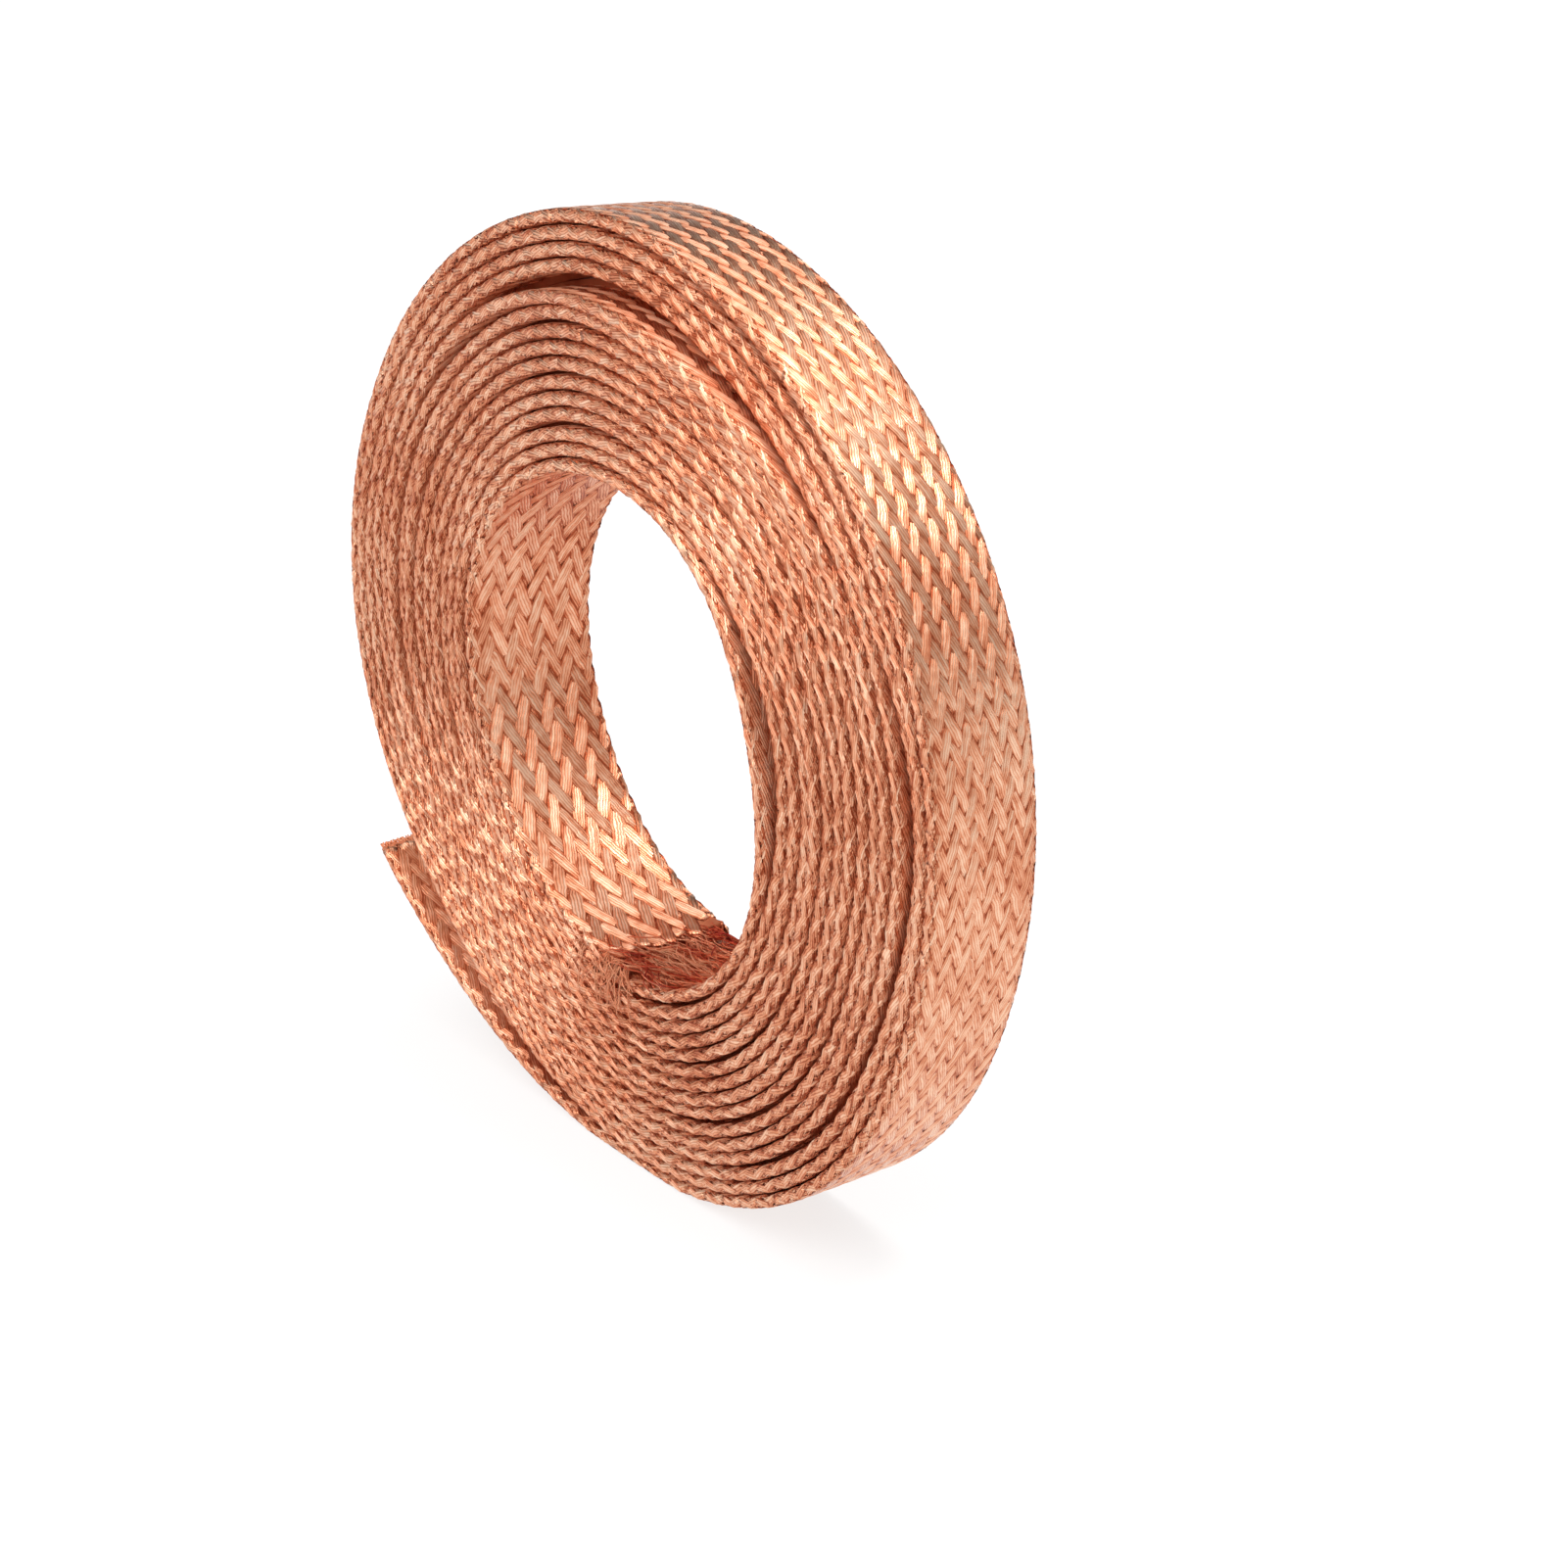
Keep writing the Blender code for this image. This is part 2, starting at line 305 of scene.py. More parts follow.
def smooth_step(value):
    """From 0 to 1, level at both ends."""
    value = np.clip(value, 0, 1)
    return value * value * (3 - 2 * value)


def wrapped(angle):
    """The same angle, within half a turn of zero."""
    return (angle + pi) % TURN - pi


def polar_angle(along):
    """Angle seen from the front: it falls as the strap winds outwards."""
    return radians(INNER_END_ANGLE) - along


def along_at(turn, angle):
    """Winding angle where a turn, counted from outside, passes an angle."""
    return TOTAL_ANGLE - radians((angle - OUTER_END_ANGLE) % 360.0) - TURN * (turn - 1)


def facing(along, angle):
    """1 where the strap passes the angle, 0 on the opposite side of the roll."""
    return 0.5 + 0.5 * np.cos(polar_angle(along) - radians(angle))


def thickness(along):
    """The strap is thicker in its looser stretch, at the upper right."""
    return STRAP_THICKNESS + SWELL * facing(along, SWELL_ANGLE) ** SWELL_POWER


def pitch(along):
    """Distance from the turn below, middle to middle."""
    result = thickness(along) + TURN_GAP
    for turn, angle, extra, spread in OPEN_GAPS:
        result = result + extra * bump(along - along_at(turn, angle), radians(spread))
    return result


def first_turn_radius(along):
    """Radius of the first turn, carried on outwards: the hole isn't quite round."""
    result = HOLE_RADIUS + thickness(along) / 2
    for angle, extra, spread in HOLE_SHAPE:
        result = result + extra * bump(wrapped(polar_angle(along) - radians(angle)), radians(spread))
    climbed = (along - radians(CLIMB_START)) / radians(CLIMB_REACH)
    return result + pitch(np.float64(TURN)) * smooth_step(climbed)


def front_radius(along):
    """Radius of the strap's middle at the front face."""
    from_end = (TOTAL_ANGLE - along) / radians(END_LIFT_REACH)
    result = END_LIFT * np.clip(1 - from_end, 0, None) ** END_LIFT_POWER
    along = along.copy()
    outside = along > TURN
    while outside.any():
        result = result + np.where(outside, pitch(along), 0)
        along = np.where(outside, along - TURN, along)
        outside = along > TURN
    return result + first_turn_radius(along)


def pushed(along):
    """How far the strap stands out of the front face."""
    result = np.zeros_like(along)
    for turn, angle, reach, spread in PUSHED_OUT:
        for inner in range(turn, FULL_TURNS + 1):
            share = FOLLOW ** (inner - turn)
            result += reach * share * bump(along - along_at(inner, angle), radians(spread))
    for turn, angle, reach, spread in SUNK:
        result -= reach * bump(along - along_at(turn, angle), radians(spread))
    return result


# The winding is worked out once, at close places, and read between them after that. The places
# run a little past both ends of the strap.
PLACE_STEP = radians(0.5)
BEFORE_START = 0.6
AFTER_END = 0.2
OUTLINE_SAMPLES = 6000
PLACES = np.linspace(-BEFORE_START, TOTAL_ANGLE + AFTER_END, round(TOTAL_ANGLE / PLACE_STEP))
RADIUS_AT = front_radius(PLACES)
PUSHED_AT = pushed(PLACES)
LENGTH_AT = np.concatenate(([0], np.cumsum(np.diff(PLACES) * (RADIUS_AT[1:] + RADIUS_AT[:-1]) / 2)))
LENGTH_AT -= np.interp(0.0, PLACES, LENGTH_AT)
STRAP_LENGTH = np.interp(TOTAL_ANGLE, PLACES, LENGTH_AT)
ADVANCE_AT = np.interp(PLACES, (0, TOTAL_ANGLE), (ADVANCE_INSIDE, ADVANCE_OUTSIDE))
STEPS_AT = np.concatenate(([0], np.cumsum(2 * np.diff(LENGTH_AT) / (ADVANCE_AT[1:] + ADVANCE_AT[:-1]))))
STEPS_AT -= np.interp(0.0, PLACES, STEPS_AT)
EVEN_SPACING = STRAP_WIDTH * 2 / STRANDS
KNOTS = np.random.default_rng(UNEVEN_SEED).uniform(-1, 1, UNEVEN_KNOTS * (FULL_TURNS + 2))


def unevenness(along):
    """How far the edges of the turns stand in front of one another or behind, from -1 to 1."""
    place = np.clip(along, 0, None) / TURN * UNEVEN_KNOTS
    knot = np.floor(place).astype(int)
    return KNOTS[knot] + (KNOTS[knot + 1] - KNOTS[knot]) * smooth_step(place - knot)


def strap_width(along):
    """The braid is looser, and so wider, towards its frayed inner end."""
    return STRAP_WIDTH + LOOSE_WIDTH * (1 - along / TOTAL_ANGLE)


def floor_height():
    """Height of the flat spot that the roll rests on, from the roll's axis."""
    rest = along_at(1, REST_ANGLE)
    return FLAT_SPOT_DEPTH - np.interp(rest, PLACES, RADIUS_AT) - thickness(rest) / 2


def strap_point(along, across, height):
    """A point of the strap: across is 0 at the front edge and 1 at the back, height is outward."""
    angle = polar_angle(along)
    flare = FRONT_FLARE * facing(along, FLARE_ANGLE)
    radius = np.interp(along, PLACES, RADIUS_AT) - flare * across + height
    y = strap_width(along) * (across - 0.5) - np.interp(along, PLACES, PUSHED_AT)
    y = y + UNEVEN * unevenness(along)
    z = np.maximum(radius * np.sin(angle), floor_height())
    return np.stack((radius * np.cos(angle), y, z), axis=-1)


def shift_to_frame():
    """From the roll's axis to the solid's own place: middle of its box, with its foot at zero."""
    along = np.linspace(0, TOTAL_ANGLE, OUTLINE_SAMPLES)
    points = [strap_point(along, side, thickness(along) / 2) for side in (0.0, 1.0)]
    points = np.concatenate(points)
    low, high = points.min(0), points.max(0)
    solid_low, solid_high = (np.array(corner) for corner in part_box("braid_roll"))
    shift = (solid_low + solid_high - low - high) / 2
    shift[2] = solid_low[2] - floor_height()
    return shift


SHIFT = shift_to_frame()


def corner_size(along):
    """The strap's edges are flat in front with rounded corners, each of this radius."""
    return CORNER_SHARE * thickness(along) / 2


def fold_reach(along):
    """Distance round the tube from the middle of its front edge to the start of a flat face."""
    return thickness(along) / 2 + (pi / 2 - 1) * corner_size(along)


def half_perimeter(along):
    """Distance round the tube from the middle of its front edge to that of its back edge."""
    return 2 * fold_reach(along) + strap_width(along) - 2 * corner_size(along)


def section_point(around, along, offset):
    """Distance from the nearer edge and height of a point round a corner of the section."""
    half = thickness(along) / 2
    corner = corner_size(along)
    angle = np.clip((around - half + corner) / corner, 0, pi / 2)
    inward = corner - (corner + offset) * np.cos(angle)
    height = half - corner + (corner + offset) * np.sin(angle)
    height = np.where(around < half - corner, around, height)
    beyond = around - fold_reach(along)
    return np.where(beyond > 0, corner + beyond, inward), height


def tube_point(length, place, offset):
    """A point on the flattened tube. Place runs round it, 0 at the front edge and positive on
    the outer face; offset is measured from the strap's own surface."""
    along = np.interp(length, LENGTH_AT, PLACES)
    around = np.abs(place)
    whole = half_perimeter(along)
    near_front = around < whole / 2
    inward, height = section_point(np.where(near_front, around, whole - around), along, offset)
    across = inward / strap_width(along)
    across = np.where(near_front, across, 1 - across)
    side = np.where(place < 0, -1.0, 1.0)
    return strap_point(along, across, side * height) + SHIFT


def place_of(turned, along):
    """Place round the tube of a strand that has turned so far. The looser inner turns show fewer
    strands on their inner face, and more on the outer one."""
    half = half_perimeter(along)
    extra = LOOSE_COLUMNS * smooth_step(1 - along / (TURN * LOOSE_TURNS))
    outer = STRANDS / 2 + extra
    inner = STRANDS / 2 - extra
    from_front = (turned - EDGE_COLUMN + inner) % STRANDS - inner
    spacing = np.where(from_front > 0, half / outer, half / inner)
    return from_front * spacing, spacing


def sight(along):
    """How far from its front and back edges each face of the strap can be seen: outer, inner."""
    radius = np.interp(along, PLACES, RADIUS_AT)
    above = np.interp(along + TURN, PLACES, RADIUS_AT) - radius
    below = radius - np.interp(along - TURN, PLACES, RADIUS_AT)
    own = np.interp(along, PLACES, PUSHED_AT)
    stands = []
    for gap, neighbour, free in (
        (above, along + TURN, along > TOTAL_ANGLE - TURN),
        (below, along - TURN, along < TURN),
    ):
        open_gap = np.clip(gap - thickness(along) - TURN_GAP, 0, None) * GAP_SIGHT
        lead = own - np.interp(neighbour, PLACES, PUSHED_AT)
        open_gap = np.where(free, STRAP_WIDTH, open_gap)
        stands.append((open_gap + np.clip(lead, 0, None), open_gap + np.clip(-lead, 0, None)))
    return stands


def wave(phase, length, period):
    """A slow swing along the strap, from -1 to 1."""
    return np.sin(TURN * (length / period + phase))


def from_fold(place, along):
    """Distance round the tube from the nearer of its two edges, 1 where the flat face starts."""
    nearer = np.minimum(np.abs(place), half_perimeter(along) - np.abs(place))
    return nearer / fold_reach(along)


def face_relief(place, along):
    """The strands lie flatter where they are folded round the strap's two edges."""
    return FOLD_RELIEF + (1 - FOLD_RELIEF) * smooth_step(from_fold(place, along) - 1)


def valley(place, along):
    """How far a strand lies in the shade between two turns, from 0 to 1: the weight of the painted
    shade there.
    """
    painted_shade_and_tone = smooth_step((from_fold(place, along) - VALLEY_START) / VALLEY_REACH)
    (outer_front, _), (inner_front, _) = sight(along)
    seen = np.where(place > 0, outer_front, inner_front * VALLEY_INNER_SIGHT)
    return painted_shade_and_tone * (1 - VALLEY_OPEN_SHARE * smooth_step(seen / VALLEY_OPEN))


def strand_points(way, rng):
    """The strands that run one way round: at each sample their two edges and crown, place round
    the tube, winding angle, painted shade and length along the strap."""
    steps = np.interp(TOTAL_ANGLE, PLACES, STEPS_AT)
    step = np.linspace(0, steps, int(steps * SAMPLES) + 1)[None, :]
    length = np.interp(step, STEPS_AT, LENGTH_AT)
    along = np.interp(length, LENGTH_AT, PLACES)
    advance = np.interp(along, PLACES, ADVANCE_AT)
    phases = rng.random((4, STRANDS, 1))
    turned = np.arange(STRANDS)[:, None] + way * step
    for start, (reach, period) in zip(phases, TURN_WANDER):
        turned = turned + reach * wave(start, length, period)
    phase = COLUMN_PHASE if way > 0 else COLUMN_PHASE + 1
    swing = np.cos(pi * (turned - phase))
    swing = np.sign(swing) * np.abs(swing) ** SWING_POWER
    along = np.broadcast_to(along, turned.shape)
    place, spacing = place_of(turned, along)
    half = half_perimeter(along)
    relief = face_relief(place, along)
    reach, period = WIDTH_WANDER
    width = STRAND_WIDTH * (1 + WIDTH_SWING * swing + reach * wave(phases[2], length, period))
    width = width * np.sqrt(spacing / EVEN_SPACING) * (1 + FOLD_SPREAD * (1 - relief))
    slant = np.arctan2(spacing, advance)
    reach, period = HEIGHT_WANDER
    offset = relief * (LAYER_SWING * swing - LAYER_DEPTH) + reach * wave(phases[3], length, period)
    step_place = np.cos(slant) * width / 2
    step_length = -way * np.sin(slant) * width / 2
    crown = STRAND_CROWN * relief * (1 - CROWN_SWING + CROWN_SWING * swing)
    edges = []
    for side, lift in ((-1, 0.0), (0, 1.0), (1, 0.0)):
        at = (place + side * step_place + half) % (2 * half) - half
        edges.append(tube_point(length + side * step_length, at, offset + lift * crown))
    points = np.stack(edges, axis=2)
    # Painted shade: darker where a strand dives under its neighbours, and in the valleys between turns
    shade = 0.5 + 0.5 * swing * np.sqrt(relief) - VALLEY_SHADE * valley(place, along)
    return points, place, along, shade, np.broadcast_to(length, place.shape)


def shown_parts(place, along):
    """Which samples of the strands are near the front edge, near the back edge, or on open faces."""
    half = half_perimeter(along)
    from_front = np.abs(place)
    from_back = half - from_front
    (outer_front, outer_back), (inner_front, inner_back) = sight(along)
    outer = place > 0
    front_reach = EDGE_REACH + np.where(outer, outer_front, inner_front)
    back_reach = BACK_REACH + np.where(outer, outer_back, inner_back)
    last_face = outer & (along > TOTAL_ANGLE - TURN)
    first_face = ~outer & (along < TURN)
    front = (from_front < front_reach) & ~last_face & ~first_face
    back = (from_back < back_reach) & ~front & ~last_face & ~first_face
    return {"front": front, "back": back, "outside": last_face, "inside": first_face}


def mesh_from_arrays(name, vertices, triangles, quads, values, uv):
    """A mesh from arrays of points and faces, with point values and a map point for each vertex."""
    mesh = bpy.data.meshes.new(name)
    corners = np.concatenate((quads.ravel(), triangles.ravel())).astype(np.int32)
    starts = np.concatenate((
        np.arange(len(quads)) * 4,
        len(quads) * 4 + np.arange(len(triangles)) * 3,
    )).astype(np.int32)
    mesh.vertices.add(len(vertices))
    mesh.loops.add(len(corners))
    mesh.polygons.add(len(starts))
    mesh.vertices.foreach_set("co", vertices.astype(np.float32).ravel())
    mesh.loops.foreach_set("vertex_index", corners)
    mesh.polygons.foreach_set("loop_start", starts)
    for key, numbers in values.items():
        attribute = mesh.attributes.new(key, "FLOAT", "POINT")
        attribute.data.foreach_set("value", numbers.astype(np.float32))
    layer = mesh.uv_layers.new(name="UVMap")
    layer.data.foreach_set("uv", uv[corners].astype(np.float32).ravel())
    mesh.update(calc_edges=True)
    mesh.shade_smooth()
    mesh.set_sharp_from_angle(angle=SHARP_ANGLE)
    return mesh


def add_piece(name, mesh, material):
    """A visible piece that stands for the solid strap."""
    piece = bpy.data.objects.new(name, mesh)
    mesh.materials.append(material)
    bpy.context.scene.collection.objects.link(piece)
    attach(piece, "root")
    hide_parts("braid_roll")


def ribbon_mesh(name, strands, segment_kept):
    """Closed three-sided ribbons along the kept segments of the strands."""
    points, tone, shade, length = strands
    rows, columns = points.shape[:2]
    used = np.zeros((rows, columns), bool)
    used[:, :-1] |= segment_kept
    used[:, 1:] |= segment_kept
    number = RIBBON_SIDES * (np.cumsum(used.ravel()).reshape(rows, columns) - 1)
    first = number[:, :-1][segment_kept]
    second = number[:, 1:][segment_kept]
    quads = []
    for k in range(RIBBON_SIDES):
        after = (k + 1) % RIBBON_SIDES
        quads.append(np.stack((first + k, second + k, second + after, first + after), 1))
    before = np.zeros_like(segment_kept)
    before[:, 1:] = segment_kept[:, :-1]
    following = np.zeros_like(segment_kept)
    following[:, :-1] = segment_kept[:, 1:]
    starts = number[:, :-1][segment_kept & ~before]
    ends = number[:, 1:][segment_kept & ~following]
    caps = np.concatenate((
        np.stack((starts, starts + 1, starts + 2), 1),
        np.stack((ends, ends + 2, ends + 1), 1),
    ))
    vertices = points[used].reshape(-1, 3)
    values = {
        "tone": np.repeat(tone[used], RIBBON_SIDES),
        "painted_shade_and_tone": np.repeat(shade[used], RIBBON_SIDES),
    }
    uv = np.empty((used.sum(), RIBBON_SIDES, 2))
    uv[:, :, 0] = (0.0, 0.5, 1.0)
    uv[:, :, 1] = length[used][:, None] / STRAND_WIDTH
    return mesh_from_arrays(name, vertices, caps, np.concatenate(quads), values, uv.reshape(-1, 2))


def weave(face_material, edge_material):
    """All strands that can be seen, as one piece for each stretch of the roll."""
    rng = np.random.default_rng(WEAVE_SEED)
    sets = []
    for way in (1, -1):
        points, place, along, shade, length = strand_points(way, rng)
        if way < 0:
            points = points[:, :, ::-1]
        tone = np.broadcast_to(rng.random((STRANDS, 1)), place.shape)
        sets.append((points, place, along, tone, shade, length))
    points, place, along, tone, shade, length = (np.concatenate(both) for both in zip(*sets))
    parts = shown_parts(place, along)
    inner_cut = rng.random((2 * STRANDS, 1)) * INNER_TRIM
    outer_cut = STRAP_LENGTH - rng.random((2 * STRANDS, 1)) * OUTER_TRIM
    whole = (length > inner_cut) & (length < outer_cut)
    middle = TOTAL_ANGLE * MIDDLE_SHARE
    stretches = {
        "front_edges_inner": parts["front"] & (along < middle),
        "front_edges_outer": parts["front"] & (along >= middle),
        "back_edges_inner": parts["back"] & (along < middle),
        "back_edges_outer": parts["back"] & (along >= middle),
        "outside_strands": parts["outside"],
        "inside_strands": parts["inside"],
    }
    seen = np.any(list(parts.values()), axis=0)
    for name, shown in stretches.items():
        kept = shown[:, :-1] & seen[:, 1:] & whole[:, :-1] & whole[:, 1:]
        mesh = ribbon_mesh(name, (points, tone, shade, length), kept)
        add_piece(name, mesh, edge_material if "edges" in name else face_material)


def core(material):
    """The shaded inside of the braid: a plain closed strap that lies under the strands, and that
    reaches halfway to its neighbours where no strand is woven."""
    core_ends = np.interp((CORE_TRIM, STRAP_LENGTH - CORE_END_TRIM), LENGTH_AT, PLACES)
    along = np.linspace(*core_ends, CORE_RINGS)
    half = thickness(along) / 2
    width = strap_width(along)
    (outer_front, outer_back), (inner_front, inner_back) = sight(along)
    radius = np.interp(along, PLACES, RADIUS_AT)
    above = (np.interp(along + TURN, PLACES, RADIUS_AT) - radius) / 2
    below = (radius - np.interp(along - TURN, PLACES, RADIUS_AT)) / 2
    level_middle = np.zeros_like(half)
    ring = [(CORE_DEPTH / 2 / width, level_middle)]
    for side, front, back, fill in (
        (1, outer_front, outer_back, above),
        (-1, inner_front, inner_back, below),
    ):
        bare = np.clip((EDGE_REACH + front) / width, 0.0, CORE_BARE_LIMIT)
        far = 1 - np.clip((BACK_REACH + back) / width, 0.0, CORE_BARE_LIMIT)
        open_face = (front > width / 2) | (back > width / 2)
        level = side * np.where(open_face, half - CORE_DEPTH, fill)
        low = side * (half - CORE_DEPTH)
        face = [
            (2 * CORE_DEPTH / width, low),
            (bare - CORE_DEPTH / width, low),
            (bare, level),
            (far, level),
            (far + CORE_DEPTH / width, low),
            (1 - 2 * CORE_DEPTH / width, low),
        ]
        if side > 0:
            ring += face + [(1 - CORE_DEPTH / width, level_middle)]
        else:
            ring += face[::-1]
    points = np.stack([strap_point(along, across, height) for across, height in ring], axis=1) + SHIFT
    sides = len(ring)
    first = np.arange(CORE_RINGS - 1)[:, None] * sides
    k = np.arange(sides)[None, :]
    after = (k + 1) % sides
    quads = np.stack((first + k, first + sides + k, first + sides + after, first + after), 2)
    pairs = np.arange(sides // 2 - 1)
    start = np.stack((pairs, pairs + 1, sides - 2 - pairs, sides - 1 - pairs), 1)
    end = (CORE_RINGS - 1) * sides + start[:, ::-1]
    quads = np.concatenate((quads.reshape(-1, 4), start, end))
    vertices = points.reshape(-1, 3)
    uv = np.zeros((len(vertices), 2))
    mesh = mesh_from_arrays("braid_core", vertices, np.zeros((0, 3), int), quads, {}, uv)
    add_piece("braid_core", mesh, material)


def wire_mesh(name, paths, tones, wire_radius):
    """Thin closed three-sided wires along the paths."""
    ahead = np.gradient(paths, axis=1)
    ahead /= np.linalg.norm(ahead, axis=2, keepdims=True)
    side = np.cross(ahead, SIDE_GUIDE)
    side /= np.linalg.norm(side, axis=2, keepdims=True)
    up = np.cross(side, ahead)
    ring = []
    for corner in range(RIBBON_SIDES):
        angle = TURN * corner / RIBBON_SIDES
        ring.append(paths + wire_radius * (cos(angle) * side + sin(angle) * up))
    points = np.stack(ring, axis=2)
    step = np.linalg.norm(np.diff(paths, axis=1), axis=2)
    length = np.concatenate((np.zeros((len(paths), 1)), np.cumsum(step, axis=1)), axis=1)
    tone = np.broadcast_to(tones[:, None], length.shape)
    kept = np.ones(step.shape, bool)
    # The wires' random tone also fills the painted-shade attribute, so they carry no painted shade
    return ribbon_mesh(name, (points, tone, tone, length), kept)


def curved(start, end, bend, share):
    """From start to end along the shares, with a bulge in the middle."""
    return start + (end - start) * share + bend * np.sin(pi * share)


class Spread:
    """Repeatable random values, one for each wire of a bundle."""

    def __init__(self, rng, count):
        self.rng = rng
        self.count = count

    def between(self, low, high):
        return self.rng.uniform(low, high, (self.count, 1))

    def around(self, reach):
        return self.between(-reach, reach)


def loose_mat(rng, share):
    """Paths of the loose wires that run on past the inner end, in tufts."""
    wires = Spread(rng, MAT_WIRES)
    tufts = Spread(rng, TUFTS)
    tuft = rng.integers(0, TUFTS, (MAT_WIRES, 1))
    own_sway = tufts.around(TUFT_SWAY)[tuft[:, 0]]
    own_length = tufts.between(*TUFT_LENGTHS)[tuft[:, 0]]
    own_lift = tufts.between(*TUFT_LIFTS)[tuft[:, 0]]
    middle = (tuft + 0.5) / TUFTS
    across = middle + wires.around(TUFT_SPREAD) / TUFTS
    curled = rng.random((MAT_WIRES, 1)) < CURLED_SHARE
    reach = TUFT_LONG + (TUFT_SHORT - TUFT_LONG) * middle
    reach = reach * own_length * wires.between(*WIRE_LENGTHS)
    start = wires.between(*WIRE_STARTS) * MM
    along = np.interp(start - (reach + start) * share, LENGTH_AT, PLACES)
    ripple = RIPPLE * np.sin(TURN * (share * wires.between(*RIPPLE_TURNS) + wires.between(0, 1)))
    side = across + (own_sway + wires.around(WIRE_SWAY)) * share ** SWAY_POWER + ripple
    side = np.clip(side, 0.0, MAT_BACK)
    lift = own_lift + wires.around(WIRE_LIFT)
    lift = lift + np.where(curled, wires.between(*CURLED_LIFTS), 0)
    lift = lift * (1 - (1 - MAT_BACK_LIFT) * middle) * MM
    low = wires.between(*START_LEVELS) * MM
    high = wires.between(*END_LEVELS) * MM
    mat = strap_point(along, side, curved(low, high, -lift, share)) + SHIFT
    loop = np.where(curled, wires.between(*CURLED_LOOPS), wires.between(*PLAIN_LOOPS)) * MM * share
    turning = TURN * (share * wires.between(*LOOP_TURNS) + wires.between(0, 1))
    return mat + np.stack((loop * np.cos(turning), loop * np.sin(turning), np.zeros_like(loop)), -1)


def stray_paths(rng, share):
    """Paths of the wires that hang over the front edges, below the mat."""
    wires = Spread(rng, STRAY_WIRES)
    start = wires.between(*STRAY_STARTS) * MM
    along = np.interp(start + wires.around(STRAY_DRIFT) * MM * share, LENGTH_AT, PLACES)
    reach = wires.between(*STRAY_REACHES) * MM
    level = curved(STRAY_TOP, reach, wires.around(STRAY_BEND) * MM, share)
    side = curved(*STRAY_ACROSS, wires.between(*STRAY_BULGES), share)
    return strap_point(along, side, level) + SHIFT


def frayed_end(material, stray_material):
    """A mat of fine loose wires past the inner end, and a few that hang over the front edges."""
    rng = np.random.default_rng(FRAY_SEED)
    share = np.linspace(0, 1, WIRE_POINTS)[None, :]
    mat = loose_mat(rng, share)
    tones = rng.uniform(*MAT_TONES, MAT_WIRES)
    add_piece("frayed_mat", wire_mesh("frayed_mat", mat, tones, WIRE_RADIUS), material)
    stray = stray_paths(rng, share)
    tones = rng.random(STRAY_WIRES)
    add_piece("stray_wires", wire_mesh("stray_wires", stray, tones, STRAY_RADIUS), stray_material)


def cut_end(material):
    """The wires' ends that fill the strap's section at its outer, cut end."""
    rng = np.random.default_rng(CUT_SEED)
    wires = Spread(rng, END_WIRES)
    share = np.linspace(0, 1, CUT_POINTS)[None, :]
    start = STRAP_LENGTH - CUT_DEPTH
    along = np.interp(start + (CUT_DEPTH + wires.between(*CUT_REACH)) * share, LENGTH_AT, PLACES)
    side = wires.between(*CUT_SIDES) + wires.around(CUT_SPLAY) * share
    level = (thickness(along) / 2 - WIRE_RADIUS) * wires.around(CUT_LEVEL)
    cut = strap_point(along, side, level) + SHIFT
    add_piece("cut_wires", wire_mesh("cut_wires", cut, rng.random(END_WIRES), WIRE_RADIUS), material)


class Tree:
    """Short forms for adding and joining a material's nodes."""

    def __init__(self, material):
        material.use_nodes = True
        self.tree = material.node_tree

    def add(self, kind, **settings):
        node = self.tree.nodes.new("ShaderNode" + kind)
        for key, value in settings.items():
            setattr(node, key, value)
        return node

    def join(self, source, target):
        self.tree.links.new(source, target)

    def math(self, operation, first, second=None):
        node = self.add("Math", operation=operation)
        for socket, value in zip(node.inputs, (first, second)):
            if value is None:
                continue
            if isinstance(value, (int, float)):
                socket.default_value = value
            else:
                self.join(value, socket)
        return node.outputs[0]

    def plus_share(self, level, value, middle, share):
        """The level, raised by a share of how far the value is above its middle."""
        above = self.math("SUBTRACT", value, middle)
        return self.math("ADD", level, self.math("MULTIPLY", above, share))

    def attribute(self, name):
        return self.add("Attribute", attribute_name=name).outputs["Fac"]

    def noise(self, vector, scale, detail=2.0):
        node = self.add("TexNoise")
        node.inputs["Scale"].default_value = scale
        node.inputs["Detail"].default_value = detail
        self.join(vector, node.inputs["Vector"])
        return node.outputs["Fac"]

    def ramp(self, value, stops):
        node = self.add("ValToRGB")
        elements = node.color_ramp.elements
        while len(elements) < len(stops):
            elements.new(0.5)
        for element, (position, colour) in zip(elements, stops):
            element.position = position
            element.color = colour
        self.join(value, node.inputs[0])
        return node.outputs["Color"]

    def mix(self, factor, first, second, blend="MIX"):
        node = self.add("Mix", data_type="RGBA", blend_type=blend)
        sockets = (node.inputs[0], node.inputs[6], node.inputs[7])
        for socket, value in zip(sockets, (factor, first, second)):
            if isinstance(value, (int, float, tuple)):
                socket.default_value = value
            else:
                self.join(value, socket)
        return node.outputs[2]


